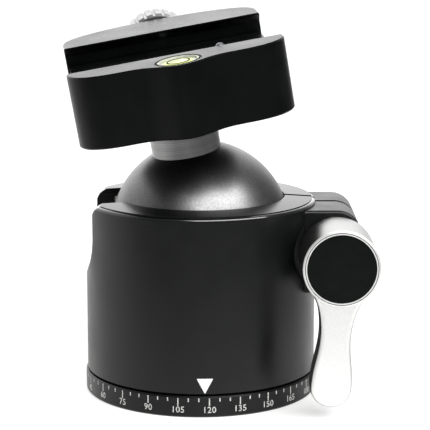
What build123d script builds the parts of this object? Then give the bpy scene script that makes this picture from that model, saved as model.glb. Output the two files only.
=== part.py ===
from build123d import *
import os
from math import cos, radians, sin, sqrt

# Tripod ball head with a panning base, a split clamp housing and a dovetail clamp.
# Millimetres. The origin is the centre of the base's underside, +Z is up, +X points
# through the clamping lug and -Y is the front, where the lever hangs.

# ---- clearances ----
running_fit = 0.05        # radial gap between a shaft and its bore
flat_gap = 0.05           # gap between flat faces that slide on each other
loose_fit = 0.3           # radial gap round a bolt in a clearance hole
past = 1.0                # how far a cutting shape runs beyond the face it opens

# ---- panning base ----
base_overhang = 0.4       # the base stands out round the housing
base_height = 5.4
base_edge_chamfer = 0.4
seam_gap = 0.25           # dark seam between the base and the housing
bush_radius = 6.0
bush_top = 9.0
thread_bore_radius = 3.97  # minor radius of the 3/8 inch tripod thread
screw_sink = 0.1          # the base screws' heads sit just below the underside
spindle_flange_radius = 14.0
spindle_flange_height = 2.4
spindle_radius = 9.0
spindle_shoulder_z = 13.0
spindle_neck_radius = 7.5
spindle_top_z = 17.0
lock_groove_depth = 1.3
lock_groove_shoulder = 0.4
nut_radius = 12.3
nut_height = 3.5
nut_slot_width = 2.0
pan_washer_inner = 16.5
pan_washer_outer = 25.0
pan_washer_thickness = 1.2
base_screw_count = 3
base_screw_circle = 10.6
base_screw_radius = 1.5
base_screw_head_radius = 3.0
base_screw_hex = 0.9

# ---- ball ----
ball_radius = 23.5
ball_z = 42.1
ball_gap = 0.05           # running gap over the ball's surface

# ---- housing ----
liner_wall = 2.1          # between the ball's equator and the bore
barrel_wall = 4.4
rim_z = 51.3              # highest line of the rim, beside the ball
rim_edge_z = 50.9         # the sloping rim's outer edge
rim_step = 0.25           # fine turned step outside the slope
rim_step_width = 0.9
rim_edge_round = 0.85
rim_opening_clearance = 0.35
rim_bevel = 0.7           # half the bevel round the ball's opening
housing_chamfer = 0.4
liner_top_z = 49.0
liner_bottom_z = 36.0
cup_top_z = 28.5
cup_bottom_z = 21.0
cup_bore_radius = 13.0
spring_thickness = 0.8
spring_inner_radius = 14.5
spring_outer_radius = 21.0
floor_top_z = 18.5
nut_recess_radius = 13.2

# ---- drop notch, towards -X ----
notch_half_width = 10.8
notch_inner_x = -17.0
notch_edge_round = 0.4
horn_round = 4.5          # the rim's corners are rounded off above the notch's mouth

# ---- clamping lug and its screw, towards +X ----
screw_offset = 4.6        # the screw's axis stands this far outside the barrel
screw_z = 38.8
lug_reach = 6.3           # from the screw's axis to the lug's end
lug_half_height = 10.8
lug_corner_radius = 6.0
lug_front_y = -14.0
lug_back_y = 14.0
lug_edge_round = 0.8
slit_width = 1.8
slit_bottom_z = 21.0
slit_end_radius = 1.6
ear_boss_radius = 6.5
ear_boss_height = 0.35
stud_radius = 3.0
stud_head_radius = 5.2
stud_head_height = 4.5
stud_head_sink = 0.5
stud_hex = 2.3
washer_radius = 9.3
washer_thickness = 0.9

# ---- main lever ----
hub_radius = 9.6
hub_front_offset = 4.0    # the hub's face stands this far in front of the barrel
hub_back_gap = 0.35       # dark gap between the washer and the hub
hub_scoop_clearance = 1.4
hub_edge_chamfer = 0.35
lever_nut_radius = 6.5
hub_screw_seat = 4.0      # from the hub's face to the stud's front end
lever_screw_head_radius = 5.8
lever_screw_head_height = 1.9
lever_screw_radius = 1.5
lever_screw_length = 5.5
lever_screw_hex = 1.7
lever_screw_hex_depth = 1.2
cap_radius = 8.55
cap_thickness = 1.15
cap_sink = 0.25
arm_lean = 4.4            # degrees that the hanging arm leans to the barrel
arm_length = 30.3         # from the hub's axis to the centre of the paddle's end
arm_end_radius = 5.15
arm_waist_half = 4.0
arm_waist_at = 20.0
arm_shoulder_angle = 40.0  # where the arm's flare leaves the hub, below level
arm_front_sink = 0.3
arm_thickness = 7.6
arm_edge_round = 1.2

# ---- pan lock, at the back ----
lock_z = 10.2
lock_screw_radius = 2.5
lock_shoe_radius = 2.4
lock_shoe_length = 3.4
lock_shoe_gap = 0.15
lock_groove_half_height = 2.6
spotface_depth = 0.6
pan_knob_radius = 7.2
pan_knob_gap = 1.4
pan_knob_length = 10.0
pan_knob_flutes = 18
pan_knob_flute_radius = 0.7
pan_knob_collar = 2.0     # plain length in front of the flutes

# ---- neck ----
neck_radius = 8.95
neck_spigot = 1.5         # how far the neck enters the clamp
neck_chamfer = 0.3
bolt_hole_spare = 0.5

# ---- dovetail clamp, in its own frame: origin at the ball's centre, z along the stem ----
clamp_bottom = 32.6
clamp_top = 50.8
clamp_half_length = 27.0
bed_half_length = 25.6    # the bed between the jaws stops short of their ends
bed_top = 45.6
front_edge_y = -18.3      # top inner edge of the fixed jaw
dovetail_opening = 34.0
dovetail_lip = 0.5
dovetail_undercut = 2.1
bed_back_y = 16.5
jaw_edge_chamfer = 0.35
level_y = -26.5
# the fixed jaw's front is one soft wave, from the level's bulge out to the ends
bulge_peak_y = -33.0
bulge_flank_x = 5.2
bulge_flank_y = -30.8
bulge_foot_x = 9.6
bulge_foot_y = -28.5
lobe_x = 16.5
lobe_y = -28.0
jaw_corner_x = 23.6
jaw_corner_y = -25.9
jaw_end_y = -20.6
bolt_radius = 4.0
bolt_head_radius = 6.5
bolt_head_height = 5.6
bolt_head_seat = 39.6
bolt_length = 13.4
bolt_hex = 3.46
hex_socket_depth = 3.2
level_pocket_radius = 5.8
level_pocket_depth = 6.6
level_cup_radius = 5.6
level_wall = 0.85
level_floor = 1.2
level_dome_height = 0.35
level_dome_sink = 0.1
stop_pin_radius = 1.1
stop_pin_dome = 0.9
stop_pin_x = 11.4
stop_pin_y = -16.9
stop_pin_top = 51.2
stop_pin_length = 10.6
stop_pin_travel = 5.6
guide_pin_radius = 2.0
guide_pin_x = 16.0
guide_pin_z = 39.2
guide_pin_start_y = 3.0
guide_pin_end_y = 27.5
jaw_stud_radius = 3.0
jaw_stud_start_y = 8.0
jaw_stud_end_y = 43.0
jaw_screw_z = 42.0
jaw_half_length = 26.2
jaw_bottom = 33.4
jaw_back_end_y = 21.5
jaw_back_corner_x = 24.0
jaw_back_corner_y = 27.6
jaw_shoulder_x = 18.0
jaw_back_shoulder_y = 31.2
jaw_back_flank_x = 9.5
jaw_back_flank_y = 33.4
jaw_back_middle_y = 34.0
washer_seat_depth = 0.4
jaw_close_travel = 1.0
knob_washer_radius = 6.5
knob_washer_thickness = 0.8
knob_radius = 9.8
knob_length = 11.6
knob_collar_length = 1.8
knob_collar_radius = 6.2
knob_flutes = 24
knob_flute_radius = 0.5
knob_edge_chamfer = 0.7

# ---- rest position of the ball, degrees ----
rest_tip_angle = 5.7       # about +X through the ball, towards the front
rest_tilt_angle = -9.5     # about the tipped Y axis, towards the notch
rest_spin_angle = 6.6      # about the stem

# ---- sizes and places that follow from those above ----
housing_bore_radius = ball_radius + liner_wall
housing_radius = housing_bore_radius + barrel_wall
base_radius = housing_radius + base_overhang
screw_x = housing_radius + screw_offset
hub_front_y = -housing_radius - hub_front_offset
stud_front_y = hub_front_y + hub_screw_seat
washer_seat_y = jaw_back_middle_y - washer_seat_depth
housing_bottom = base_height + seam_gap
spindle_flange_z = base_height - spindle_flange_height
hub_back_y = lug_front_y - ear_boss_height - washer_thickness - hub_back_gap
nut_back_y = lug_front_y - ear_boss_height - washer_thickness - flat_gap
rim_sphere = ball_radius + rim_opening_clearance
rear_edge_y = front_edge_y + dovetail_opening
clamp_place = Location((0, 0, ball_z), (rest_tip_angle, rest_tilt_angle, rest_spin_angle))
lever_place = Location((screw_x, 0, screw_z), (0, arm_lean, 0))

LOW = (Align.CENTER, Align.CENTER, Align.MIN)


def sphere_radius_at(radius, z):
    """Radius of the ball-centred sphere's circle at height z."""
    return sqrt(radius ** 2 - (z - ball_z) ** 2)


def post(radius, low, high, x=0, y=0):
    """Upright cylinder between two heights."""
    return Pos(x, y, low) * Cylinder(radius, high - low, align=LOW)


def ring(outer, inner, low, high):
    return post(outer, low, high) - post(inner, low - past, high + past)


def rod(radius, back, front, x, z):
    """Cylinder along Y from y=front (lower) to y=back (higher)."""
    start = Location((x, back, z), (90, 0, 0))
    return start * Cylinder(radius, back - front, align=LOW)


def block(x0, x1, y0, y1, z0, z1):
    box = Box(x1 - x0, y1 - y0, z1 - z0)
    return Pos((x0 + x1) / 2, (y0 + y1) / 2, (z0 + z1) / 2) * box


def turned(points):
    """Solid of revolution about Z from (radius, height) corners."""
    return revolve(Plane.XZ * make_face(Polyline(*points, close=True)), Axis.Z)


def fluted(body, radius, count, flute_radius, back, front):
    """Cuts a ring of grooves along Y into a knob that lies on the Y axis."""
    groove = rod(flute_radius, back, front, radius, 0)
    for step in range(count):
        body -= Rot(0, step * 360 / count, 0) * groove
    return body


# ---------------------------------------------------------------- panning base
def base_screw_places():
    return [
        (base_screw_circle * cos(radians(angle)), base_screw_circle * sin(radians(angle)))
        for angle in range(30, 390, 360 // base_screw_count)
    ]


def make_base_plate():
    plate = chamfer(post(base_radius, 0, base_height).edges(), base_edge_chamfer)
    plate -= post(bush_radius + running_fit, -past, base_height + past)
    plate -= post(spindle_flange_radius + running_fit, spindle_flange_z, base_height + past)
    seat_z = housing_bottom - pan_washer_thickness
    plate -= ring(pan_washer_outer + running_fit, pan_washer_inner - running_fit,
                  seat_z, base_height + past)
    for x, y in base_screw_places():
        plate -= post(base_screw_radius + running_fit, -past, base_height, x, y)
        sink = Cone(base_screw_head_radius + running_fit, base_screw_radius + running_fit,
                    base_screw_head_radius - base_screw_radius, align=LOW)
        plate -= Pos(x, y, 0) * sink
    return plate


def make_tripod_bush():
    return ring(bush_radius, thread_bore_radius, 0, bush_top)


def make_base_screws():
    head_height = base_screw_head_radius - base_screw_radius
    tip_z = base_height - 2 * screw_sink
    screws = []
    for x, y in base_screw_places():
        head = Cone(base_screw_head_radius - running_fit, base_screw_radius - running_fit,
                    head_height, align=LOW)
        socket = extrude(RegularPolygon(base_screw_hex, 6), head_height)
        screw = Pos(x, y, screw_sink) * head
        screw += post(base_screw_radius - running_fit, head_height, tip_z, x, y)
        screw -= Pos(x, y, 0) * socket
        screws.append(screw)
    return Compound(children=screws)


def make_pan_spindle():
    groove_low = lock_z - lock_groove_half_height
    groove_high = spindle_shoulder_z - lock_groove_shoulder
    spindle = post(spindle_flange_radius, spindle_flange_z, base_height)
    spindle += post(spindle_radius, base_height, spindle_shoulder_z)
    spindle += post(spindle_neck_radius, spindle_shoulder_z, spindle_top_z)
    spindle -= ring(spindle_radius + past, spindle_radius - lock_groove_depth,
                    groove_low, groove_high)
    spindle -= post(bush_radius + running_fit, 0, bush_top + flat_gap)
    for x, y in base_screw_places():
        spindle -= post(base_screw_radius + running_fit, 0, base_height + past, x, y)
    return spindle


def make_spindle_nut():
    low = spindle_shoulder_z + flat_gap
    nut = ring(nut_radius, spindle_neck_radius + running_fit, low, low + nut_height)
    slot = block(-nut_radius - past, nut_radius + past, -nut_slot_width / 2,
                 nut_slot_width / 2, low + nut_height - nut_slot_width,
                 low + nut_height + past)
    for turn in (0, 90):
        nut -= Rot(0, 0, turn) * slot
    return nut


def make_pan_washer():
    return ring(pan_washer_outer, pan_washer_inner,
                housing_bottom - pan_washer_thickness, housing_bottom)


# ---------------------------------------------------------------- housing
def notch_shape(spare=0):
    """Slot for the neck at full drop: straight sides over a full round."""
    half = notch_half_width + spare
    away = -housing_radius - past
    upper = block(away, notch_inner_x, -half, half, ball_z, rim_z + past)
    round_end = Location((away, 0, ball_z), (0, 90, 0)) * Cylinder(
        half, notch_inner_x - away, align=LOW)
    return upper + round_end


def horn_shape():
    """What a round cut along Y takes off the two corners of the rim beside the notch."""
    mouth_x = -sqrt(housing_radius ** 2 - notch_half_width ** 2)
    centre_x = mouth_x + horn_round
    centre_z = rim_z - horn_round
    cut = block(-housing_radius - past, centre_x, -housing_radius, housing_radius,
                centre_z, rim_z + past)
    return cut - rod(horn_round, housing_radius + past, -housing_radius - past,
                     centre_x, centre_z)


def slit_shape(width):
    """Saw cut through the wall and the lug, with a round end at its foot."""
    out = screw_x + lug_reach + past
    start = spring_inner_radius
    half = width / 2
    cut = block(start, out, -half, half, slit_bottom_z, rim_z + past)
    foot = Location((start, 0, slit_bottom_z), (0, 90, 0))
    return cut + foot * Cylinder(slit_end_radius, out - start, align=LOW)


def make_barrel():
    """The turned outside of the housing, solid, with a fine step round its rim."""
    step_z = rim_edge_z - rim_step
    step_radius = housing_radius - rim_step_width
    arc_centre = (housing_radius - rim_edge_round, step_z - rim_edge_round)
    slant = rim_edge_round * sin(radians(45))
    with BuildSketch(Plane.XZ) as profile:
        with BuildLine():
            foot = Polyline(
                (0, rim_z), (0, housing_bottom),
                (housing_radius - housing_chamfer, housing_bottom),
                (housing_radius, housing_bottom + housing_chamfer),
                (housing_radius, arc_centre[1]))
            edge = ThreePointArc(
                foot @ 1, (arc_centre[0] + slant, arc_centre[1] + slant),
                (arc_centre[0], step_z))
            Polyline(
                edge @ 1, (step_radius, step_z), (step_radius, rim_edge_z),
                (sphere_radius_at(rim_sphere, rim_z) + rim_bevel, rim_z), (0, rim_z))
        make_face()
    return revolve(profile.sketch, Axis.Z)


def make_lug():
    """Both ears in one block with round corners, before the saw cut."""
    with BuildSketch(Plane.XZ) as outline:
        with Locations((screw_x + lug_reach, screw_z)):
            Rectangle(lug_reach + screw_offset + barrel_wall, 2 * lug_half_height,
                      align=(Align.MAX, Align.CENTER))
        fillet(outline.vertices().group_by(Axis.X)[-1], lug_corner_radius)
    lug = Pos(0, lug_back_y, 0) * extrude(outline.sketch, lug_back_y - lug_front_y)
    ends = lug.faces().filter_by(Axis.Y)
    return fillet(ends.edges(), lug_edge_round)


def make_housing():
    notch = notch_shape()
    body = make_barrel() - notch
    mouth_depth = rim_step_width + rim_step
    mouth = [
        edge for edge in body.edges()
        if edge.center().X < notch_inner_x and abs(edge.center().Y) < notch_half_width + past
        and edge.center().Z > ball_z - notch_half_width - past
        and abs(sqrt(edge.center().X ** 2 + edge.center().Y ** 2) - housing_radius) < mouth_depth
    ]
    body = fillet(mouth, notch_edge_round) - horn_shape()
    body += make_lug()
    body += rod(ear_boss_radius, lug_front_y + past, lug_front_y - ear_boss_height,
                screw_x, screw_z)
    # ball bore, open at the top for the ball's cap and at the bottom for loading it
    body -= post(housing_bore_radius, 0, liner_top_z)
    body -= Pos(0, 0, ball_z) * Sphere(rim_sphere)
    lip_radius = sphere_radius_at(rim_sphere, rim_z)
    bevel = Cone(lip_radius - rim_bevel, lip_radius + rim_bevel, 2 * rim_bevel, align=LOW)
    body -= Pos(0, 0, rim_z - rim_bevel) * bevel
    body -= notch
    # pocket in the barrel's front that the lever's hub turns in
    body -= rod(hub_radius + hub_scoop_clearance, lug_front_y - ear_boss_height,
                hub_front_y, screw_x, screw_z)
    body -= slit_shape(slit_width)
    # clamping stud: clearance through the ears, head sunk in the rear ear
    body -= rod(stud_radius + loose_fit, lug_back_y + past,
                lug_front_y - ear_boss_height - past, screw_x, screw_z)
    body -= rod(stud_head_radius + loose_fit, lug_back_y + past,
                lug_back_y - stud_head_height - stud_head_sink, screw_x, screw_z)
    # pan lock screw
    body -= rod(lock_screw_radius + running_fit, housing_radius + past, spindle_radius,
                0, lock_z)
    body -= rod(pan_knob_radius + loose_fit, housing_radius + past,
                housing_radius - spotface_depth, 0, lock_z)
    return body


def make_ball_liner():
    outer = housing_bore_radius - running_fit
    liner = post(outer, liner_bottom_z, liner_top_z - flat_gap)
    liner -= Pos(0, 0, ball_z) * Sphere(ball_radius + ball_gap)
    liner -= notch_shape(spare=loose_fit)
    liner -= slit_shape(slit_width)
    return liner


def make_ball_cup():
    cup = ring(housing_bore_radius - running_fit, cup_bore_radius, cup_bottom_z, cup_top_z)
    return cup - Pos(0, 0, ball_z) * Sphere(ball_radius + ball_gap)


def make_cup_spring():
    """Coned disc spring that holds the cup up against the ball."""
    return turned([
        (spring_outer_radius, floor_top_z),
        (spring_outer_radius, floor_top_z + spring_thickness),
        (spring_inner_radius, cup_bottom_z),
        (spring_inner_radius, cup_bottom_z - spring_thickness),
    ])


def make_housing_floor():
    floor = post(housing_bore_radius - running_fit, housing_bottom, floor_top_z)
    floor -= post(spindle_radius + running_fit, 0, floor_top_z + past)
    floor -= post(nut_recess_radius, spindle_shoulder_z, floor_top_z + past)
    floor -= rod(lock_screw_radius + running_fit, housing_radius, 0, 0, lock_z)
    return floor


def make_clamp_stud():
    head_back = lug_back_y - stud_head_sink
    head_front = head_back - stud_head_height
    stud = rod(stud_radius, head_front, stud_front_y, screw_x, screw_z)
    head = rod(stud_head_radius, head_back, head_front, screw_x, screw_z)
    head = chamfer(head.edges().group_by(Axis.Y)[-1], hub_edge_chamfer)
    socket = Location((screw_x, head_back, screw_z), (90, 0, 0)) * extrude(
        RegularPolygon(stud_hex, 6), hex_socket_depth)
    tapped = rod(lever_screw_radius + running_fit, stud_front_y + lever_screw_length + past,
                 stud_front_y - past, screw_x, screw_z)
    return stud + head - socket - tapped


def make_lever_washer():
    front = lug_front_y - ear_boss_height - washer_thickness
    back = lug_front_y - ear_boss_height
    washer = rod(washer_radius, back, front, screw_x, screw_z)
    return washer - rod(stud_radius + running_fit, back + past, front - past,
                        screw_x, screw_z)


def make_lever_screw():
    head_front = stud_front_y - lever_screw_head_height
    screw = rod(lever_screw_head_radius, stud_front_y, head_front, screw_x, screw_z)
    screw += rod(lever_screw_radius, stud_front_y + lever_screw_length, stud_front_y,
                 screw_x, screw_z)
    socket = Location((screw_x, head_front + lever_screw_hex_depth, screw_z),
                      (90, 0, 0)) * extrude(
        RegularPolygon(lever_screw_hex, 6), lever_screw_head_height)
    return screw - socket


# ---------------------------------------------------------------- main lever
def arm_outline():
    """The arm hangs from the hub's axis along -Z: flare, waist and round paddle."""
    shoulder_x = hub_radius * cos(radians(arm_shoulder_angle))
    shoulder_z = -hub_radius * sin(radians(arm_shoulder_angle))
    with BuildSketch() as outline:
        with BuildLine():
            right = Spline(
                (shoulder_x, shoulder_z), (arm_waist_half, -arm_waist_at),
                (arm_end_radius, -arm_length),
                tangents=((-0.9, -1), (0, -1)))
            RadiusArc(right @ 1, (-arm_end_radius, -arm_length), arm_end_radius)
            left = Spline(
                (-arm_end_radius, -arm_length), (-arm_waist_half, -arm_waist_at),
                (-shoulder_x, shoulder_z),
                tangents=((0, 1), (-0.9, 1)))
            Line(left @ 1, right @ 0)
        make_face()
    return outline.sketch


def make_main_lever():
    front = hub_front_y + arm_front_sink
    arm = Location((0, front + arm_thickness, 0), (90, 0, 0)) * extrude(
        arm_outline(), arm_thickness)
    arm = fillet(arm.edges().filter_by(GeomType.LINE, reverse=True), arm_edge_round)
    hub = rod(hub_radius, hub_back_y, hub_front_y, 0, 0)
    hub = chamfer(hub.edges(), hub_edge_chamfer)
    lever = lever_place * (hub + arm)
    lever -= rod(lever_nut_radius + running_fit, hub_back_y + past, hub_front_y - past,
                 screw_x, screw_z)
    lever -= rod(cap_radius + running_fit, hub_front_y + cap_sink + cap_thickness,
                 hub_front_y - past, screw_x, screw_z)
    return lever


def make_lever_nut():
    nut = rod(lever_nut_radius, nut_back_y, stud_front_y + flat_gap, screw_x, screw_z)
    return nut - rod(stud_radius + running_fit, 0, hub_front_y, screw_x, screw_z)


def make_lever_cap():
    front = hub_front_y + cap_sink
    return rod(cap_radius, front + cap_thickness, front, screw_x, screw_z)


# ---------------------------------------------------------------- pan lock
def make_lock_shoe():
    tip = spindle_radius - lock_groove_depth + lock_shoe_gap
    return rod(lock_shoe_radius, tip + lock_shoe_length, tip, 0, lock_z)


def make_pan_lock_screw():
    start = spindle_radius - lock_groove_depth + lock_shoe_gap + lock_shoe_length
    end = housing_radius + pan_knob_gap + pan_knob_length - pan_knob_collar
    return rod(lock_screw_radius, end, start, 0, lock_z)


def make_pan_knob():
    front = housing_radius + pan_knob_gap
    back = front + pan_knob_length
    knob = rod(pan_knob_radius, back, front, 0, 0)
    knob = chamfer(knob.edges(), knob_edge_chamfer)
    knob = fluted(knob, pan_knob_radius, pan_knob_flutes, pan_knob_flute_radius,
                  back + past, front + pan_knob_collar)
    knob -= rod(lock_screw_radius + running_fit, back - pan_knob_collar, front - past, 0, 0)
    return Pos(0, 0, lock_z) * knob


# ---------------------------------------------------------------- ball and neck
def make_ball():
    return Pos(0, 0, ball_z) * Sphere(ball_radius)


def make_neck():
    top = clamp_bottom + neck_spigot
    neck = chamfer(post(neck_radius, 0, top).edges().group_by(Axis.Z)[-1], neck_chamfer)
    neck -= Sphere(ball_radius + ball_gap)
    neck -= post(bolt_radius + running_fit, bolt_head_seat - bolt_length - bolt_hole_spare,
                 top + past)
    return clamp_place * neck


# ---------------------------------------------------------------- dovetail clamp
def front_jaw_outline():
    """Plan of the fixed jaw: a soft wave that bulges round the level."""
    half_wave = [
        (bulge_flank_x, bulge_flank_y),
        (bulge_foot_x, bulge_foot_y),
        (lobe_x, lobe_y),
        (jaw_corner_x, jaw_corner_y),
        (clamp_half_length, jaw_end_y),
    ]
    other_half = [(-x, y) for x, y in reversed(half_wave)]
    with BuildSketch() as outline:
        with BuildLine():
            wave = Spline(*other_half, (0, bulge_peak_y), *half_wave)
            Polyline(wave @ 1, (clamp_half_length, front_edge_y),
                     (-clamp_half_length, front_edge_y), wave @ 0)
        make_face()
    return outline.sketch


def make_clamp_body():
    jaw = Pos(0, 0, clamp_bottom) * extrude(front_jaw_outline(), clamp_top - clamp_bottom)
    rims = jaw.edges().group_by(Axis.Z)[0] + jaw.edges().group_by(Axis.Z)[-1]
    jaw = chamfer([e for e in rims if e.center().Y < front_edge_y - running_fit],
                  jaw_edge_chamfer)
    bed = block(-bed_half_length, bed_half_length, front_edge_y, bed_back_y,
                clamp_bottom, bed_top)
    body = jaw + bed
    # dovetail undercut under the fixed jaw's lip
    lip_z = clamp_top - dovetail_lip
    under_y = front_edge_y - dovetail_undercut
    groove = make_face(Polyline(
        (front_edge_y, lip_z), (under_y, lip_z - dovetail_undercut), (under_y, bed_top),
        (front_edge_y + past, bed_top), (front_edge_y + past, lip_z), close=True))
    body -= extrude(Plane.YZ * groove, clamp_half_length + past, both=True)
    # neck spigot, bolt, level pocket, stop pin
    body -= post(neck_radius + running_fit, 0, clamp_bottom + neck_spigot)
    body -= post(bolt_radius + loose_fit, 0, clamp_top)
    body -= post(bolt_head_radius + loose_fit, bolt_head_seat, clamp_top)
    body -= post(level_pocket_radius, clamp_top - level_pocket_depth, clamp_top + past,
                 0, level_y)
    body -= post(stop_pin_radius + running_fit,
                 stop_pin_top - stop_pin_length - stop_pin_travel - loose_fit,
                 clamp_top, stop_pin_x, stop_pin_y)
    # guide pins and the jaw's stud
    for x in (-guide_pin_x, guide_pin_x):
        body -= rod(guide_pin_radius + running_fit, bed_back_y + past,
                    guide_pin_start_y - flat_gap, x, guide_pin_z)
    body -= rod(jaw_stud_radius + running_fit, bed_back_y + past,
                jaw_stud_start_y - flat_gap, 0, jaw_screw_z)
    return clamp_place * body


def make_clamp_bolt():
    bolt = post(bolt_head_radius, bolt_head_seat, bolt_head_seat + bolt_head_height)
    bolt = chamfer(bolt.edges().group_by(Axis.Z)[-1], hub_edge_chamfer)
    bolt += post(bolt_radius, bolt_head_seat - bolt_length, bolt_head_seat)
    socket_z = bolt_head_seat + bolt_head_height - hex_socket_depth
    bolt -= Pos(0, 0, socket_z) * extrude(RegularPolygon(bolt_hex, 6),
                                          hex_socket_depth + past)
    return clamp_place * bolt


def make_level_cup():
    low = clamp_top - level_pocket_depth
    cup = post(level_cup_radius, low, clamp_top, 0, level_y)
    cup -= post(level_cup_radius - level_wall, low + level_floor, clamp_top + past,
                0, level_y)
    return clamp_place * cup


def make_level_vial():
    radius = level_cup_radius - level_wall - running_fit
    low = clamp_top - level_pocket_depth + level_floor
    dome_radius = (radius ** 2 + level_dome_height ** 2) / (2 * level_dome_height)
    vial = post(radius, low, clamp_top, 0, level_y)
    dome = Pos(0, level_y, clamp_top - level_dome_sink - dome_radius) * Sphere(dome_radius)
    return clamp_place * (vial & dome)


def make_stop_pin():
    pin = post(stop_pin_radius, stop_pin_top - stop_pin_length, stop_pin_top,
               stop_pin_x, stop_pin_y)
    pin = fillet(pin.edges().group_by(Axis.Z)[-1], stop_pin_dome)
    return clamp_place * pin


def make_guide_pins():
    pins = [
        clamp_place * rod(guide_pin_radius, guide_pin_end_y, guide_pin_start_y, x, guide_pin_z)
        for x in (-guide_pin_x, guide_pin_x)
    ]
    return Compound(children=pins)


def make_jaw_stud():
    return clamp_place * rod(jaw_stud_radius, jaw_stud_end_y, jaw_stud_start_y,
                             0, jaw_screw_z)


def make_moving_jaw():
    half_back = [
        (jaw_back_flank_x, jaw_back_flank_y),
        (jaw_shoulder_x, jaw_back_shoulder_y),
        (jaw_back_corner_x, jaw_back_corner_y),
        (jaw_half_length, jaw_back_end_y),
    ]
    other_half = [(-x, y) for x, y in reversed(half_back)]
    with BuildSketch() as outline:
        with BuildLine():
            back = Spline(*other_half, (0, jaw_back_middle_y), *half_back)
            Polyline(back @ 1, (jaw_half_length, rear_edge_y),
                     (-jaw_half_length, rear_edge_y), back @ 0)
        make_face()
    jaw = Pos(0, 0, jaw_bottom) * extrude(outline.sketch, clamp_top - jaw_bottom)
    rims = jaw.edges().group_by(Axis.Z)[0] + jaw.edges().group_by(Axis.Z)[-1]
    jaw = chamfer([e for e in rims if e.center().Y > rear_edge_y + running_fit],
                  jaw_edge_chamfer)
    lip_z = clamp_top - dovetail_lip
    under_y = rear_edge_y + dovetail_undercut
    below = jaw_bottom - past
    groove = make_face(Polyline(
        (rear_edge_y, lip_z), (under_y, lip_z - dovetail_undercut), (under_y, below),
        (rear_edge_y - past, below), (rear_edge_y - past, lip_z), close=True))
    jaw -= extrude(Plane.YZ * groove, clamp_half_length + past, both=True)
    for x in (-guide_pin_x, guide_pin_x):
        jaw -= rod(guide_pin_radius + running_fit,
                   guide_pin_end_y + jaw_close_travel + loose_fit, rear_edge_y, x, guide_pin_z)
    jaw -= rod(jaw_stud_radius + loose_fit, jaw_back_middle_y + past, rear_edge_y,
               0, jaw_screw_z)
    jaw -= rod(knob_washer_radius + loose_fit, jaw_back_middle_y + past, washer_seat_y,
               0, jaw_screw_z)
    return clamp_place * jaw


def make_knob_washer():
    back = washer_seat_y + knob_washer_thickness
    washer = rod(knob_washer_radius, back, washer_seat_y, 0, jaw_screw_z)
    washer -= rod(jaw_stud_radius + loose_fit, back + past, washer_seat_y - past,
                  0, jaw_screw_z)
    return clamp_place * washer


def make_clamp_knob():
    front = washer_seat_y + knob_washer_thickness + flat_gap
    back = front + knob_length
    grip = rod(knob_radius, back, front + knob_collar_length, 0, 0)
    grip = chamfer(grip.edges(), knob_edge_chamfer)
    knob = fluted(grip, knob_radius, knob_flutes, knob_flute_radius,
                  back + past, front + knob_collar_length - past)
    knob += rod(knob_collar_radius, front + knob_collar_length + past, front, 0, 0)
    knob -= rod(jaw_stud_radius + running_fit, jaw_stud_end_y + jaw_close_travel + loose_fit,
                front - past, 0, 0)
    return clamp_place * (Pos(0, 0, jaw_screw_z) * knob)


pieces = {
    "base_plate": make_base_plate,
    "tripod_bush": make_tripod_bush,
    "base_screws": make_base_screws,
    "pan_spindle": make_pan_spindle,
    "spindle_nut": make_spindle_nut,
    "pan_washer": make_pan_washer,
    "housing": make_housing,
    "ball_liner": make_ball_liner,
    "ball_cup": make_ball_cup,
    "cup_spring": make_cup_spring,
    "housing_floor": make_housing_floor,
    "clamp_stud": make_clamp_stud,
    "lever_washer": make_lever_washer,
    "lever_screw": make_lever_screw,
    "main_lever": make_main_lever,
    "lever_nut": make_lever_nut,
    "lever_cap": make_lever_cap,
    "lock_shoe": make_lock_shoe,
    "pan_lock_screw": make_pan_lock_screw,
    "pan_knob": make_pan_knob,
    "ball": make_ball,
    "neck": make_neck,
    "clamp_body": make_clamp_body,
    "clamp_bolt": make_clamp_bolt,
    "level_cup": make_level_cup,
    "level_vial": make_level_vial,
    "stop_pin": make_stop_pin,
    "guide_pins": make_guide_pins,
    "jaw_stud": make_jaw_stud,
    "moving_jaw": make_moving_jaw,
    "knob_washer": make_knob_washer,
    "clamp_knob": make_clamp_knob,
}

os.makedirs("parts", exist_ok=True)
for name, make in pieces.items():
    export_step(make(), f"parts/{name}.step")
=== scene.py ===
from math import cos, pi, radians, sin

import bpy
from mathutils import Matrix, Vector


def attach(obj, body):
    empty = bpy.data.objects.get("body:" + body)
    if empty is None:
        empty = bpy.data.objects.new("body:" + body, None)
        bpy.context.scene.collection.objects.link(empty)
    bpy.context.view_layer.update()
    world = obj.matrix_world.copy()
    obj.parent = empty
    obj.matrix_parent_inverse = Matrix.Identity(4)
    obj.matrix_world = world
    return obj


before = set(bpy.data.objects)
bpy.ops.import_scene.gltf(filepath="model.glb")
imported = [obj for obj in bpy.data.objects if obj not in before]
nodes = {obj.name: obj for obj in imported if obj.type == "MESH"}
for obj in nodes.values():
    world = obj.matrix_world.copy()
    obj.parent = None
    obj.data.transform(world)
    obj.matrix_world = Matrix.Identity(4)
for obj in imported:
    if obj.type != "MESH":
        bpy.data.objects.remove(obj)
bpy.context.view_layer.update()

MM = 0.001
scene = bpy.context.scene

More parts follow.
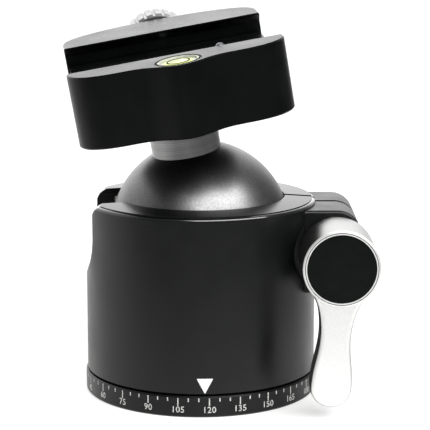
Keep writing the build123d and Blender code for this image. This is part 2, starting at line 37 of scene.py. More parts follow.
# ------------------------------------------------------------------ sizes
# Millimetres, as the solids have them. The clamp's own are counted from the ball's centre.
BASE_RADIUS = 30.4
BASE_TOP = 5.4
HOUSING_RADIUS = 30.0
HOUSING_EDGE_Z = 50.65     # top of the barrel's rounded outer edge, a step below the rim
HOUSING_EDGE_ROUND = 0.85
BURNISHED_HALF_HEIGHT = 0.4
BALL_Z = 42.1
CLAMP_TOP = 50.8
LEVEL_Y = -26.5
LEVEL_CUP_RADIUS = 5.6
STOP_PIN_X = 11.4
STOP_PIN_Y = -16.9
JAW_SCREW_Z = 42.0
SCREW_X = 34.6             # the clamping screw runs from front to back through the lug
SCREW_Z = 38.8
HUB_FRONT_Y = -34.0
GROOVE_RADIUS = 9.0        # groove in the hub's face, round the cap
GROOVE_HALF_WIDTH = 0.09
LOCK_SCREW_Z = 10.2
TRIPOD_THREAD_RADIUS = 4.3  # the bush's thread is drawn only this near its axis

# Thread pitches: 3/8 inch by 16 for the tripod, metric coarse for the rest.
TRIPOD_PITCH = 1.5875
SCREW_PITCH = 1.0
LOCK_PITCH = 0.8

# The degree scale on the base, and the index mark on the housing.
MARK_HEIGHT = 0.02         # marks stand a hair above the skin, so they never flicker
STROKE_DEGREES = 5
LONG_STROKE_EVERY = 3
NUMBER_DEGREES = 15
FRONT_READING = 116.0      # degrees on the scale at the very front
STROKE_WIDTH = 0.3
STROKE_TOP = BASE_TOP - 0.38
LONG_STROKE_FOOT = 3.05
SHORT_STROKE_FOOT = 4.1
NUMBER_SIZE = 2.25
NUMBER_BOLDNESS = 0.02
NUMBER_Z = 1.95
INDEX_DEGREES = 1.9        # from the front, towards the lug
INDEX_WIDTH = 4.1
INDEX_HEIGHT = 3.9
INDEX_TOP_Z = 10.0

# Printed circle, painted-shade ring round the vial, and the level's bubble.
WINDOW_Z = CLAMP_TOP - 0.24   # the vial's window is sunk below the clamp's top
TARGET_OUTER_RADIUS = 2.9
TARGET_INNER_RADIUS = 2.55
TARGET_HEIGHT = 0.12
TARGET_BEVEL = 0.02
# Painted shade: a black ring laid over the gap between the vial and its cup.
GAP_SHADE_OUTER_RADIUS = LEVEL_CUP_RADIUS - 0.02
GAP_SHADE_INNER_RADIUS = 5.1
GAP_SHADE_FOOT_Z = CLAMP_TOP - 0.3
GAP_SHADE_TOP_Z = CLAMP_TOP + 0.12
GAP_SHADE_BEVEL = 0.1
BUBBLE_RADIUS = 1.6
BUBBLE_FLATNESS = 0.16
BUBBLE_PLACE = (-0.7, 0.3, CLAMP_TOP - 0.22)

# Sizes of the patterns. Blasting grit leaves pits of about 0.1 mm, a finishing cut on the
# lathe leaves lines 0.05 to 0.1 mm apart, and a marking laser's spots are 0.05 mm apart.
# All are too fine to show, so they are drawn as coarse as these. The clouds on the black
# skin are as wide as a fingertip's touch.
PIT = 0.45
FINE_PIT = 0.4
BALL_PIT = 0.38
FEED = 0.25
FINE_FEED = 0.2
BASE_FEED = 0.3
COARSE_FEED = 0.5
MOULD_GRAIN = 0.35
LASER_SPOT = 0.3
INK_GRAIN = 0.25
CLOUD = 9.0

# The clamp's own frame stands on the ball's centre and leans with the stem. A turned
# piece's axis is Z in its own frame.
stem_turn = (Matrix.Rotation(radians(5.7), 4, "X") @ Matrix.Rotation(radians(-9.5), 4, "Y")
             @ Matrix.Rotation(radians(6.6), 4, "Z"))
lies_along_y = Matrix.Rotation(radians(90), 4, "X")


def shift(x, y, z):
    """A move, in millimetres."""
    return Matrix.Translation((x * MM, y * MM, z * MM))


base_place = Matrix.Identity(4)
clamp_place = shift(0, 0, BALL_Z) @ stem_turn
level_place = clamp_place @ shift(0, LEVEL_Y, 0)
stop_pin_place = clamp_place @ shift(STOP_PIN_X, STOP_PIN_Y, 0)
jaw_screw_place = clamp_place @ shift(0, 0, JAW_SCREW_Z) @ lies_along_y
screw_place = shift(SCREW_X, 0, SCREW_Z) @ lies_along_y
lock_place = shift(0, 0, LOCK_SCREW_Z) @ lies_along_y


# ------------------------------------------------------------------ how finishes are made
def linear(code):
    """Linear RGBA of an sRGB hex colour."""
    parts = [int(code[i:i + 2], 16) / 255 for i in (1, 3, 5)]
    return [c / 12.92 if c <= 0.04045 else ((c + 0.055) / 1.055) ** 2.4 for c in parts] + [1.0]


def add(tree, kind, settings=None, inputs=None):
    """Adds a node; an input is a plain value or the socket that feeds it."""
    n = tree.nodes.new(kind)
    for key, value in (settings or {}).items():
        setattr(n, key, value)
    for key, value in (inputs or {}).items():
        if isinstance(value, bpy.types.NodeSocket):
            tree.links.new(value, n.inputs[key])
        else:
            n.inputs[key].default_value = value
    return n


def new_finish(name, **shader):
    """A material with its shader; constants go straight on the shader's sockets."""
    m = bpy.data.materials.new(name)
    m.use_nodes = True
    tree = m.node_tree
    bsdf = tree.nodes["Principled BSDF"]
    for key, value in shader.items():
        bsdf.inputs[key.replace("_", " ")].default_value = value
    coords = add(tree, "ShaderNodeTexCoord").outputs["Object"]
    return m, tree, bsdf, coords


def grain(tree, coords, size_mm, detail=2.0):
    """Uneven spots of about the given size."""
    return add(tree, "ShaderNodeTexNoise", inputs={
        "Vector": coords, "Scale": 1 / (size_mm * MM), "Detail": detail}).outputs["Fac"]


def tint(tree, bsdf, factor, dark, light, low=0.3, high=0.7):
    """Colours the surface from dark to light as the factor goes from low to high."""
    ramp = add(tree, "ShaderNodeValToRGB", inputs={"Fac": factor})
    ramp.color_ramp.elements[0].position = low
    ramp.color_ramp.elements[0].color = linear(dark)
    ramp.color_ramp.elements[1].position = high
    ramp.color_ramp.elements[1].color = linear(light)
    tree.links.new(ramp.outputs["Color"], bsdf.inputs["Base Color"])
    return ramp


def gloss(tree, bsdf, factor, low, high):
    """Lets the roughness wander between two values."""
    spread = add(tree, "ShaderNodeMapRange", inputs={
        "Value": factor, "From Min": 0.3, "From Max": 0.7, "To Min": low, "To Max": high})
    tree.links.new(spread.outputs["Result"], bsdf.inputs["Roughness"])


def emboss(tree, bsdf, height, depth_mm, under=None):
    """Fine relief, on top of any coarser relief that is under it."""
    inputs = {"Height": height, "Distance": depth_mm * MM}
    if under is not None:
        inputs["Normal"] = under
    bump = add(tree, "ShaderNodeBump", inputs=inputs)
    tree.links.new(bump.outputs["Normal"], bsdf.inputs["Normal"])
    return bump.outputs["Normal"]


def round_axis(tree, coords, place):
    """Distance from a turned piece's axis, and its place along its own three axes."""
    own = add(tree, "ShaderNodeMapping", {"vector_type": "TEXTURE"}, {
        "Vector": coords, "Location": place.to_translation(),
        "Rotation": tuple(place.to_euler("XYZ"))})
    flat = add(tree, "ShaderNodeVectorMath", {"operation": "MULTIPLY"}, {
        0: own.outputs["Vector"], 1: (1, 1, 0)})
    radius = add(tree, "ShaderNodeVectorMath", {"operation": "LENGTH"}, {
        0: flat.outputs["Vector"]})
    split = add(tree, "ShaderNodeSeparateXYZ", inputs={"Vector": own.outputs["Vector"]})
    return radius.outputs["Value"], split


def feed_lines(tree, radius, split, pitch_mm):
    """Lines off the lathe: circles on a turned piece's end faces, rings on its barrel."""
    along = add(tree, "ShaderNodeMath", {"operation": "ADD"}, {
        0: radius, 1: split.outputs["Z"]})
    return add(tree, "ShaderNodeTexNoise", {"noise_dimensions": "1D"}, {
        "W": along.outputs["Value"], "Scale": 1 / (pitch_mm * MM),
        "Detail": 3.0}).outputs["Fac"]


# ------------------------------------------------------------------ black anodised pieces
def blasted_black(name, dark, light, low, high, level=0.5, pit_mm=PIT, depth_mm=0.012):
    """Bead-blasted, black anodised aluminium: the dyed oxide skin is a dark dielectric
    with an even satin grain, clouded a little where fingers have been."""
    m, tree, bsdf, coords = new_finish(name, Metallic=0.0, IOR=1.5, Specular_IOR_Level=level)
    clouds = grain(tree, coords, CLOUD, 4.0)
    tint(tree, bsdf, clouds, dark, light)
    gloss(tree, bsdf, clouds, low, high)
    emboss(tree, bsdf, grain(tree, coords, pit_mm), depth_mm)
    return m


def make_housing_finish():
    """Bead-blasted aluminium, black anodised. The rim is turned smooth, so the ball and
    the lights show in it, and the edge below it is burnished to a fine bright line."""
    m, tree, bsdf, coords = new_finish("anodised_black_blasted", Metallic=0.0, IOR=1.5,
                                       Specular_IOR_Level=0.3, Coat_Roughness=0.08)
    clouds = grain(tree, coords, CLOUD, 4.0)
    tint(tree, bsdf, clouds, "#040505", "#090a0a")
    height = add(tree, "ShaderNodeSeparateXYZ", inputs={"Vector": coords}).outputs["Z"]
    edge_foot = HOUSING_EDGE_Z - HOUSING_EDGE_ROUND
    rim = add(tree, "ShaderNodeMapRange", inputs={
        "Value": height, "From Min": (edge_foot - 0.2) * MM,
        "From Max": (edge_foot + 0.1) * MM}).outputs["Result"]
    burnished = add(tree, "ShaderNodeMath", {"operation": "COMPARE"}, {
        0: height, 1: (HOUSING_EDGE_Z - BURNISHED_HALF_HEIGHT) * MM,
        2: BURNISHED_HALF_HEIGHT * MM})
    tree.links.new(burnished.outputs["Value"], bsdf.inputs["Coat Weight"])
    satin = add(tree, "ShaderNodeMapRange", inputs={
        "Value": clouds, "From Min": 0.3, "From Max": 0.7, "To Min": 0.3, "To Max": 0.4})
    rough = add(tree, "ShaderNodeMapRange", inputs={
        "Value": rim, "To Min": satin.outputs["Result"], "To Max": 0.24})
    tree.links.new(rough.outputs["Result"], bsdf.inputs["Roughness"])
    relief = add(tree, "ShaderNodeMapRange", inputs={
        "Value": rim, "To Min": grain(tree, coords, PIT), "To Max": 0.5})
    emboss(tree, bsdf, relief.outputs["Result"], 0.03)
    return m


def make_clamp_finish():
    """The clamp and its jaw have the housing's skin, blasted finer and dyed deeper."""
    return blasted_black("anodised_black_clamp", "#020303", "#040505", 0.22, 0.3,
                         level=0.17, pit_mm=FINE_PIT, depth_mm=0.03)


def make_base_finish():
    """Turned and black anodised: very fine rings show on the underside and the edge."""
    m, tree, bsdf, coords = new_finish("anodised_black_turned", Metallic=0.0, IOR=1.5,
                                       Specular_IOR_Level=0.25)
    clouds = grain(tree, coords, 8.0, 3.0)
    tint(tree, bsdf, clouds, "#040505", "#0a0b0b")
    gloss(tree, bsdf, clouds, 0.3, 0.4)
    lines = feed_lines(tree, *round_axis(tree, coords, base_place), BASE_FEED)
    emboss(tree, bsdf, lines, 0.006)
    return m


def make_ball_finish():
    """Precision-turned ball, hard anodised: dark metal that glitters in its highlight."""
    m, tree, bsdf, coords = new_finish("anodised_ball", Metallic=1.0)
    fine = grain(tree, coords, BALL_PIT, 1.0)
    tint(tree, bsdf, fine, "#626262", "#747474")
    gloss(tree, bsdf, grain(tree, coords, 7.0, 3.0), 0.34, 0.4)
    emboss(tree, bsdf, fine, 0.015)
    return m


# ------------------------------------------------------------------ bare metal pieces
def turned_metal(name, dark, light, low, high, place, pitch_mm=FEED, metallic=1.0,
                 depth_mm=0.012):
    """Metal off the lathe: fine feed lines round its axis, a soft bright sheen."""
    m, tree, bsdf, coords = new_finish(name, Metallic=metallic)
    lines = feed_lines(tree, *round_axis(tree, coords, place), pitch_mm)
    tint(tree, bsdf, lines, dark, light)
    gloss(tree, bsdf, grain(tree, coords, 4.0, 3.0), low, high)
    emboss(tree, bsdf, lines, depth_mm)
    return m


def threaded_steel(name, place, pitch_mm, dark, light, bore_mm=None):
    """Machined steel with a rolled thread: one ridge winds round the axis. Where a bore
    is given, the thread stays inside it and the rest of the piece is plain turned."""
    m, tree, bsdf, coords = new_finish(name, Metallic=1.0)
    radius, split = round_axis(tree, coords, place)
    angle = add(tree, "ShaderNodeMath", {"operation": "ARCTAN2"}, {
        0: split.outputs["Y"], 1: split.outputs["X"]})
    climb = add(tree, "ShaderNodeMath", {"operation": "MULTIPLY_ADD"}, {
        0: split.outputs["Z"], 1: 2 * pi / (pitch_mm * MM), 2: angle.outputs["Value"]})
    wave = add(tree, "ShaderNodeMath", {"operation": "SINE"}, {0: climb.outputs["Value"]})
    height = wave.outputs["Value"]
    if bore_mm:
        inside = add(tree, "ShaderNodeMath", {"operation": "LESS_THAN"}, {
            0: radius, 1: bore_mm * MM})
        height = add(tree, "ShaderNodeMath", {"operation": "MULTIPLY"}, {
            0: height, 1: inside.outputs["Value"]}).outputs["Value"]
    lines = feed_lines(tree, radius, split, FINE_FEED)
    tint(tree, bsdf, lines, dark, light)
    gloss(tree, bsdf, lines, 0.24, 0.34)
    ridge = emboss(tree, bsdf, height, 0.16)
    emboss(tree, bsdf, lines, 0.006, under=ridge)
    return m


def make_lever_finish():
    """Clear anodised aluminium: the front is bead-blasted, nearly white with a fine dry
    speckle. The sides and the hub's barrel are smooth from machining and carry a painted
    shade of darker grey; a fine groove is turned in the hub's face round the cap and
    painted dark grey inside as painted shade."""
    m, tree, bsdf, coords = new_finish("anodised_silver_blasted", Metallic=1.0)
    radius, split = round_axis(tree, coords, screw_place)
    fine = grain(tree, coords, FINE_PIT)
    side = add(tree, "ShaderNodeMapRange", inputs={
        "Value": split.outputs["Z"], "From Min": (-HUB_FRONT_Y - 0.5) * MM,
        "From Max": (-HUB_FRONT_Y - 0.9) * MM}).outputs["Result"]
    groove = add(tree, "ShaderNodeMath", {"operation": "COMPARE"}, {
        0: radius, 1: GROOVE_RADIUS * MM, 2: GROOVE_HALF_WIDTH * MM}).outputs["Value"]
    skin = tint(tree, bsdf, fine, "#f0f0ee", "#f8f8f7")
    # A colour mix has its two colours on inputs 6 and 7, and its result on output 2.
    # Painted shade: all but the lever's front face is tinted a darker grey than the blasted
    # front.
    side_shade_tint = add(tree, "ShaderNodeMix", {"data_type": "RGBA"}, {
        "Factor": side, 6: skin.outputs["Color"], 7: linear("#9a9a99")})
    # Painted shade: the groove round the cap is tinted dark grey.
    groove_painted_shade = add(tree, "ShaderNodeMix", {"data_type": "RGBA"}, {
        "Factor": groove, 6: side_shade_tint.outputs[2], 7: linear("#4a4b4b")})
    tree.links.new(groove_painted_shade.outputs[2], bsdf.inputs["Base Color"])
    rough = add(tree, "ShaderNodeMapRange", inputs={
        "Value": side, "To Min": 0.5, "To Max": 0.28})
    tree.links.new(rough.outputs["Result"], bsdf.inputs["Roughness"])
    relief = add(tree, "ShaderNodeMath", {"operation": "MULTIPLY_ADD"}, {
        0: groove, 1: -16.0, 2: fine})
    emboss(tree, bsdf, relief.outputs["Value"], 0.008)
    return m


# ------------------------------------------------------------------ plastics and marks
def make_cap_finish():
    """Moulded plastic cap: satin black with a faint moulding grain."""
    m, tree, bsdf, coords = new_finish("moulded_black_plastic", Metallic=0.0, IOR=1.49,
                                       Specular_IOR_Level=0.12)
    fine = grain(tree, coords, MOULD_GRAIN)
    tint(tree, bsdf, grain(tree, coords, 3.0), "#040606", "#090b0b")
    gloss(tree, bsdf, fine, 0.42, 0.52)
    emboss(tree, bsdf, fine, 0.01)
    return m


def make_polymer_finish():
    """Machined acetal: milky white, slightly waxy, with faint tool marks."""
    m, tree, bsdf, coords = new_finish("machined_acetal", Metallic=0.0, IOR=1.48)
    lines = feed_lines(tree, *round_axis(tree, coords, base_place), COARSE_FEED)
    tint(tree, bsdf, grain(tree, coords, 5.0), "#d8d7d0", "#e6e5df")
    gloss(tree, bsdf, lines, 0.38, 0.5)
    emboss(tree, bsdf, lines, 0.01)
    return m


def make_level_cup_finish():
    """Moulded clear-white plastic cup of the level: a pale, slightly green shine."""
    m, tree, bsdf, coords = new_finish("moulded_white_plastic", Metallic=0.0, IOR=1.49)
    fine = grain(tree, coords, 0.6)
    tint(tree, bsdf, grain(tree, coords, 1.5), "#b4b7a6", "#c8cabb")
    gloss(tree, bsdf, fine, 0.22, 0.32)
    emboss(tree, bsdf, fine, 0.006)
    return m


def make_level_finish():
    """Bubble level's clear vial: its rim shows pale grey, and the liquid in its chamber is
    bright yellow-green, deeper at the chamber's edge."""
    m, tree, bsdf, coords = new_finish("level_liquid", Metallic=0.0, IOR=1.4,
                                       Specular_IOR_Level=0.1, Coat_Weight=0.05,
                                       Coat_Roughness=0.04)
    radius, _ = round_axis(tree, coords, level_place)
    swirl = add(tree, "ShaderNodeMath", {"operation": "MULTIPLY_ADD"}, {
        0: grain(tree, coords, 2.5), 1: 0.5 * MM, 2: radius})
    out = add(tree, "ShaderNodeMapRange", inputs={
        "Value": swirl.outputs["Value"], "From Min": 0.0, "From Max": 5.0 * MM})
    ramp = tint(tree, bsdf, out.outputs["Result"], "#d9deaa", "#b2b5ab", 0.3, 0.84)
    for position, colour in ((0.6, "#d5dc8c"), (0.78, "#bcc96a"), (0.82, "#8f9484")):
        ramp.color_ramp.elements.new(position).color = linear(colour)
    gloss(tree, bsdf, grain(tree, coords, 3.0), 0.12, 0.2)
    return m


def make_bubble_finish():
    """Air under the vial's window: the liquid's colour, dulled, with a soft highlight."""
    m, tree, bsdf, coords = new_finish("level_bubble", Metallic=0.0, IOR=1.3,
                                       Specular_IOR_Level=0.15)
    tint(tree, bsdf, grain(tree, coords, 1.2), "#adb28a", "#b6ba98")
    gloss(tree, bsdf, grain(tree, coords, 1.5), 0.25, 0.35)
    return m


def make_mark_finish(name, dark, light):
    """Laser mark: the dye is burnt away to a chalky white that is a bit uneven."""
    m, tree, bsdf, coords = new_finish(name, Metallic=0.0, IOR=1.5)
    fine = grain(tree, coords, LASER_SPOT, 3.0)
    tint(tree, bsdf, fine, dark, light, 0.35, 0.62)
    gloss(tree, bsdf, fine, 0.5, 0.65)
    emboss(tree, bsdf, fine, 0.01)
    return m


def make_print_finish():
    """Black ink printed on the level: flat, with a slightly uneven film. The same black,
    laid over the gap round the vial, is painted shade.
    """
    m, tree, bsdf, coords = new_finish("black_ink_and_gap_shade", Metallic=0.0, IOR=1.5,
                                       Specular_IOR_Level=0.1)
    fine = grain(tree, coords, INK_GRAIN, 3.0)
    tint(tree, bsdf, fine, "#0b0c08", "#1b1d12")
    gloss(tree, bsdf, fine, 0.6, 0.75)
    return m


# ------------------------------------------------------------------ each solid's finish
clamp_finish = make_clamp_finish()
acetal = make_polymer_finish()
finish = {
    "housing": make_housing_finish(),
    "base_plate": make_base_finish(),
    "clamp_body": clamp_finish,
    "moving_jaw": clamp_finish,
    "ball": make_ball_finish(),
    "main_lever": make_lever_finish(),
    "lever_cap": make_cap_finish(),
    "level_cup": make_level_cup_finish(),
    "level_vial": make_level_finish(),
    "ball_liner": acetal,
    "ball_cup": acetal,
    "pan_washer": acetal,
    # Blasted and anodised a shade greyer than the housing.
    "pan_knob": blasted_black("anodised_black_knob", "#0a0a0b", "#111213", 0.28, 0.38),
    # Anodised after turning: near black, with rings that catch a little light.
    "housing_floor": turned_metal("anodised_black_floor", "#0b0b0c", "#121314", 0.3, 0.42,
                                  base_place, metallic=0.0),
    # Bare aluminium, turned and then polished lightly: a soft grey with faint rings.
    "neck": turned_metal("turned_aluminium", "#767676", "#898989", 0.26, 0.34, clamp_place,
                         pitch_mm=COARSE_FEED, depth_mm=0.003),
    # Clear anodised after turning: a pale, dry silver.
    "clamp_knob": turned_metal("anodised_silver_turned", "#858686", "#a1a2a1", 0.32, 0.42,
                               jaw_screw_place),
    # Plain turned steel, wiped clean: brighter than zinc, with crisp rings.
    "pan_spindle": turned_metal("turned_steel_spindle", "#97989a", "#b9babc", 0.22, 0.32,
                                base_place),
    "spindle_nut": turned_metal("turned_steel_nut", "#909294", "#b2b3b5", 0.24, 0.34,
                                base_place),
    "lever_nut": turned_metal("turned_steel_lever_nut", "#909294", "#b2b3b5", 0.24, 0.34,
                              screw_place),
    # Zinc-plated steel: pale and slightly milky.
    "base_screws": turned_metal("zinc_plated_steel", "#9c9ea0", "#bcbec0", 0.25, 0.36,
                                base_place),
    "lever_screw": turned_metal("zinc_plated_screw", "#9c9ea0", "#bcbec0", 0.24, 0.34,
                                screw_place),
    # Tempered spring steel: a darker, bluish grey.
    "cup_spring": turned_metal("spring_steel", "#6b6d70", "#8d8f92", 0.26, 0.36, base_place),
    # Polished washers: the brightest metal on the head.
    "lever_washer": turned_metal("polished_washer", "#c2c3c4", "#dddddd", 0.18, 0.28,
                                 screw_place),
    "knob_washer": turned_metal("stainless_knob_washer", "#a8a9ab", "#c8c9ca", 0.2, 0.3,
                                jaw_screw_place),
    # Ground steel: smooth and bright on the guides, duller on the sprung pin's worn tip.
    "guide_pins": turned_metal("ground_steel_guides", "#a6a7a9", "#c6c7c9", 0.18, 0.28,
                               jaw_screw_place),
    "stop_pin": turned_metal("ground_steel_pin", "#6c6d6f", "#87888a", 0.36, 0.46,
                             stop_pin_place, pitch_mm=FINE_FEED),
    # Machined brass shoe: warm yellow with fine turned lines.
    "lock_shoe": turned_metal("machined_brass", "#b08a3c", "#d0ad5e", 0.25, 0.36, lock_place),
    # Hexagon-socket bolt with a black oxide skin, lightly oiled.
    "clamp_bolt": turned_metal("black_oxide_bolt", "#1c1d1f", "#2b2c2f", 0.28, 0.38,
                               clamp_place),
    # The stud's thread is rolled, then blackened the same way.
    "clamp_stud": threaded_steel("black_oxide_stud", screw_place, SCREW_PITCH,
                                 "#232426", "#34363a"),
    # Stainless steel: grey-white, with bright thread crests.
    "tripod_bush": threaded_steel("stainless_threaded_bush", base_place, TRIPOD_PITCH,
                                  "#a3a4a6", "#c4c4c6", bore_mm=TRIPOD_THREAD_RADIUS),
    "pan_lock_screw": threaded_steel("stainless_lock_screw", lock_place, LOCK_PITCH,
                                     "#9fa0a2", "#c0c0c2"),
    "jaw_stud": threaded_steel("stainless_jaw_stud", jaw_screw_place, SCREW_PITCH,
                               "#9fa0a2", "#c0c0c2"),
}
for name, node in nodes.items():
    node.data.materials.clear()
    node.data.materials.append(finish[name])

mark_finish = make_mark_finish("laser_mark_grey", "#8f908d", "#c9c9c5")
index_finish = make_mark_finish("laser_mark_white", "#d6d7d4", "#f4f4f0")
ink_and_gap_shade_finish = make_print_finish()


# ------------------------------------------------------------------ pieces
def fresh():
    """Nothing is selected and Blender is in object mode before a new piece starts."""
    if bpy.context.mode != "OBJECT":
        bpy.ops.object.mode_set(mode="OBJECT")
    bpy.ops.object.select_all(action="DESELECT")


def apply_place():
    """Puts the new primitive's place and size into its mesh."""
    bpy.ops.object.transform_apply(location=True, rotation=True, scale=True)
    return bpy.context.object


def settle(piece, name, body, material, place=base_place):
    """Puts the finished piece's place into its mesh and hands it to its body."""
    fresh()
    piece.data.transform(place @ piece.matrix_world)
    piece.matrix_world = Matrix.Identity(4)
    piece.name = name
    piece.data.materials.clear()
    piece.data.materials.append(material)
    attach(piece, body)


def join(parts):
    fresh()
    for part in parts:
        part.select_set(True)
    bpy.context.view_layer.objects.active = parts[0]
    bpy.ops.object.join()
    return parts[0]


def wrap(piece, radius_mm):
    """Bends a flat piece, drawn as if unrolled, onto an upright barrel; x runs round it
    from the front, y is height and z stands out from the barrel."""
    for v in piece.data.vertices:
        x, y, z = v.co
        turn = x / (radius_mm * MM)
        reach = radius_mm * MM + z
        v.co = (reach * sin(turn), -reach * cos(turn), y)


def round_the_base(degrees_on_scale):
    """How far round the unrolled base a reading stands, in millimetres."""
    return radians(degrees_on_scale - FRONT_READING) * BASE_RADIUS


def ring(outer_mm, inner_mm, low_mm, high_mm, bevel_mm):
    """A flat ring: a disc with both faces inset and bridged, its rims bevelled."""
    fresh()
    bpy.ops.mesh.primitive_cylinder_add(
        vertices=96, radius=outer_mm * MM, depth=(high_mm - low_mm) * MM,
        location=(0, 0, (low_mm + high_mm) / 2 * MM))
    piece = apply_place()
    bpy.ops.object.mode_set(mode="EDIT")
    bpy.ops.mesh.select_mode(type="FACE")
    bpy.ops.mesh.select_all(action="DESELECT")
    bpy.ops.object.mode_set(mode="OBJECT")
    for face in piece.data.polygons:
        face.select = abs(face.normal.z) > 0.9
    bpy.ops.object.mode_set(mode="EDIT")
    bpy.ops.mesh.inset(thickness=(outer_mm - inner_mm) * MM, use_boundary=True,
                       use_even_offset=True, use_individual=True)
    bpy.ops.mesh.bridge_edge_loops()
    bpy.ops.object.mode_set(mode="OBJECT")
    rim = piece.modifiers.new("rim", "BEVEL")
    rim.width = bevel_mm * MM
    rim.segments = 2
    rim.limit_method = "ANGLE"
    bpy.ops.object.modifier_apply(modifier=rim.name)
    bpy.ops.object.shade_smooth_by_angle(angle=radians(30))
    return piece


def stroke(foot_mm):
    """One stroke of the scale, drawn flat at the front."""
    fresh()
    bpy.ops.mesh.primitive_cube_add(
        size=MM, location=(0, (STROKE_TOP + foot_mm) / 2 * MM, 0),
        scale=(STROKE_WIDTH, STROKE_TOP - foot_mm, 2 * MARK_HEIGHT))
    return apply_place()


def scale_strokes():
    """A long stroke for every number round the base, and two short ones between."""
    long_stroke = stroke(LONG_STROKE_FOOT)
    short_stroke = stroke(SHORT_STROKE_FOOT)
    strokes = []
    for step in range(360 // STROKE_DEGREES):
        pattern = short_stroke if step % LONG_STROKE_EVERY else long_stroke
        copy = pattern.copy()
        copy.data = pattern.data.copy()
        copy.data.transform(shift(round_the_base(step * STROKE_DEGREES), 0, 0))
        bpy.context.collection.objects.link(copy)
        strokes.append(copy)
    bpy.data.objects.remove(long_stroke)
    bpy.data.objects.remove(short_stroke)
    piece = join(strokes)
    wrap(piece, BASE_RADIUS)
    settle(piece, "scale_strokes", "base", mark_finish)


def scale_numbers():
    """The scale's numbers, each a text made a mesh, under their long strokes."""
    labels = []
    for value in range(0, 360, NUMBER_DEGREES):
        fresh()
        bpy.ops.object.text_add()
        text = bpy.context.object.data
        text.body = str(value)
        text.size = NUMBER_SIZE * MM
        text.align_x = "CENTER"
        text.align_y = "CENTER"
        text.space_character = 1.04
        text.extrude = MARK_HEIGHT * MM
        text.offset = NUMBER_BOLDNESS * MM
        text.resolution_u = 3
        bpy.ops.object.convert(target="MESH")
        label = bpy.context.object
        label.data.transform(shift(round_the_base(value), NUMBER_Z, 0))
        labels.append(label)
    piece = join(labels)
    wrap(piece, BASE_RADIUS)
    settle(piece, "scale_numbers", "base", mark_finish)


def index_mark():
    """White triangle on the housing that the scale is read against."""
    fresh()
    bpy.ops.mesh.primitive_cylinder_add(vertices=3, radius=1, depth=2 * MARK_HEIGHT * MM,
                                        rotation=(0, 0, radians(180)))
    # A triangle in a circle of radius 1 is 2 cos 30 wide and 1.5 high.
    bpy.context.object.scale = (INDEX_WIDTH / 2 / cos(radians(30)) * MM,
                                INDEX_HEIGHT / 1.5 * MM, 1)
    piece = apply_place()
    bpy.ops.object.mode_set(mode="EDIT")
    bpy.ops.mesh.select_all(action="SELECT")
    bpy.ops.mesh.subdivide(number_cuts=5)
    bpy.ops.object.mode_set(mode="OBJECT")
    top = max(v.co.y for v in piece.data.vertices) / MM
    piece.data.transform(shift(radians(INDEX_DEGREES) * HOUSING_RADIUS, INDEX_TOP_Z - top, 0))
    wrap(piece, HOUSING_RADIUS)
    settle(piece, "index_mark", "housing", index_finish)


def level_marks():
    """Printed target circle, a black ring of painted shade over the gap round the vial,
    and the bubble of the level.
    """
    target = ring(TARGET_OUTER_RADIUS, TARGET_INNER_RADIUS,
                  WINDOW_Z, WINDOW_Z + TARGET_HEIGHT, TARGET_BEVEL)
    settle(target, "level_target", "clamp", ink_and_gap_shade_finish, level_place)
    # Painted shade: a black ring over the gap between the vial and its cup.
    gap_shade_ring = ring(GAP_SHADE_OUTER_RADIUS, GAP_SHADE_INNER_RADIUS, GAP_SHADE_FOOT_Z, GAP_SHADE_TOP_Z, GAP_SHADE_BEVEL)
    settle(gap_shade_ring, "level_gap_shade_ring", "clamp", ink_and_gap_shade_finish, level_place)
    fresh()
    bpy.ops.mesh.primitive_uv_sphere_add(segments=40, ring_count=20,
                                         radius=BUBBLE_RADIUS * MM)
    bpy.context.object.scale = (1, 1, BUBBLE_FLATNESS)
    bubble = apply_place()
    bpy.ops.object.shade_smooth()
    settle(bubble, "level_bubble", "clamp", make_bubble_finish(),
           level_place @ shift(*BUBBLE_PLACE))


scale_strokes()
scale_numbers()
index_mark()
level_marks()

# ------------------------------------------------------------------ camera
CAMERA_PLACE = (0, -457.66, 135.05)
CAMERA_LOOKS_DOWN = 11.03
CAMERA_LOOKS_RIGHT = 0.47
SENSOR_WIDTH = 36.0
FOCAL_LENGTH_PIXELS = 1777.24
PICTURE_WIDTH_PIXELS = 430

camera_data = bpy.data.cameras.new("camera")
camera_data.sensor_width = SENSOR_WIDTH
camera_data.lens = SENSOR_WIDTH * FOCAL_LENGTH_PIXELS / PICTURE_WIDTH_PIXELS
camera_data.clip_start = 0.01
camera = bpy.data.objects.new("camera", camera_data)
camera.location = Vector(CAMERA_PLACE) * MM
camera.rotation_euler = (radians(90 - CAMERA_LOOKS_DOWN), 0, radians(-CAMERA_LOOKS_RIGHT))
scene.collection.objects.link(camera)
scene.camera = camera


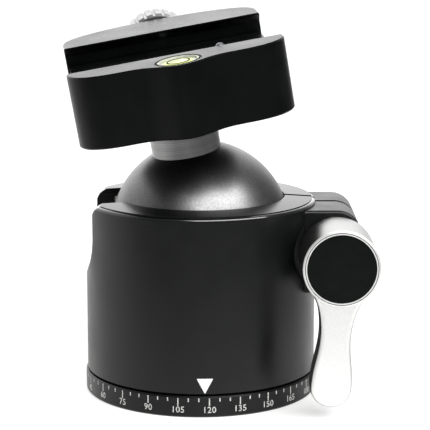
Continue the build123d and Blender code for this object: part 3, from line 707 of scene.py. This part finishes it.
# ------------------------------------------------------------------ floor and light
def make_table_finish():
    """White acrylic table, satin. It is lit from below under the head and behind it, and
    falls into shade towards the front and to the right."""
    m, tree, bsdf, coords = new_finish("acrylic_table", Metallic=0.0, IOR=1.49)
    gloss(tree, bsdf, grain(tree, coords, 60.0), 0.5, 0.6)
    bsdf.inputs["Emission Color"].default_value = (1, 1, 1, 1)
    along = add(tree, "ShaderNodeSeparateXYZ", inputs={"Vector": coords})
    aside = add(tree, "ShaderNodeMath", {"operation": "MULTIPLY_ADD"}, {
        0: along.outputs["Y"], 1: -0.2, 2: along.outputs["X"]})
    right = add(tree, "ShaderNodeMapRange", inputs={
        "Value": aside.outputs["Value"], "From Min": 0.07, "From Max": 0.25,
        "To Min": 0.0, "To Max": 0.6}).outputs["Result"]
    back = add(tree, "ShaderNodeMapRange", inputs={
        "Value": along.outputs["Y"], "From Min": -0.26, "From Max": -0.04})
    bright = add(tree, "ShaderNodeMath", {"operation": "SUBTRACT"}, {
        0: back.outputs["Result"], 1: right})
    tint(tree, bsdf, bright.outputs["Value"], "#6c6c6c", "#c2c2c1", 0.0, 1.0)
    lit = add(tree, "ShaderNodeMapRange", inputs={
        "Value": along.outputs["Y"], "From Min": -0.16, "From Max": -0.035,
        "To Min": 0.0, "To Max": 0.5})
    glow = add(tree, "ShaderNodeMath", {"operation": "SUBTRACT", "use_clamp": True}, {
        0: lit.outputs["Result"], 1: right})
    tree.links.new(glow.outputs["Value"], bsdf.inputs["Emission Strength"])
    return m


fresh()
bpy.ops.mesh.primitive_plane_add(size=6, location=(0, 0, 0))
floor = bpy.context.object
floor.name = "floor"
floor.data.materials.append(make_table_finish())


def tent_side(tree, way, direction, start, end, low, high):
    """Brightness of the tent towards one side, rising from start to end of its cosine."""
    facing = add(tree, "ShaderNodeVectorMath", {"operation": "DOT_PRODUCT"}, {
        0: way, 1: direction})
    return add(tree, "ShaderNodeMapRange", {"interpolation_type": "SMOOTHSTEP"}, {
        "Value": facing.outputs["Value"], "From Min": start, "From Max": end,
        "To Min": low, "To Max": high}).outputs["Result"]


def make_tent():
    """White tent: its roof is brighter behind, its left wall is lit, and its right wall
    and its front, where the camera stands, are darker."""
    world = bpy.data.worlds.new("white_tent")
    world.use_nodes = True
    tree = world.node_tree
    way = add(tree, "ShaderNodeTexCoord").outputs["Generated"]
    left_and_back = tent_side(tree, way, (-0.65, 0.76, 0.0), 0.1, 0.8, 0.18, 1.0)
    roof = tent_side(tree, way, (-0.1, 0.8, 0.6), 0.55, 0.95, 0.0, 1.1)
    tent = add(tree, "ShaderNodeMath", {"operation": "ADD"}, {0: left_and_back, 1: roof})
    background = tree.nodes["Background"]
    tree.links.new(tent.outputs["Value"], background.inputs["Strength"])
    background.inputs["Color"].default_value = (1, 1, 1, 1)
    return world


def softbox(name, place, width, height, power, target):
    """A lamp behind a white cloth, turned towards the target; metres and watts."""
    lamp = bpy.data.lights.new(name, "AREA")
    lamp.shape = "RECTANGLE"
    lamp.size = width
    lamp.size_y = height
    lamp.energy = power
    obj = bpy.data.objects.new(name, lamp)
    obj.location = place
    obj.rotation_euler = (Vector(target) - Vector(place)).to_track_quat("-Z", "Y").to_euler()
    scene.collection.objects.link(obj)


scene.world = make_tent()
softbox("key", (0.34, -0.54, 0.66), width=1.2, height=0.5, power=15.5, target=(0, 0, 0.045))
scene.view_settings.view_transform = "Standard"
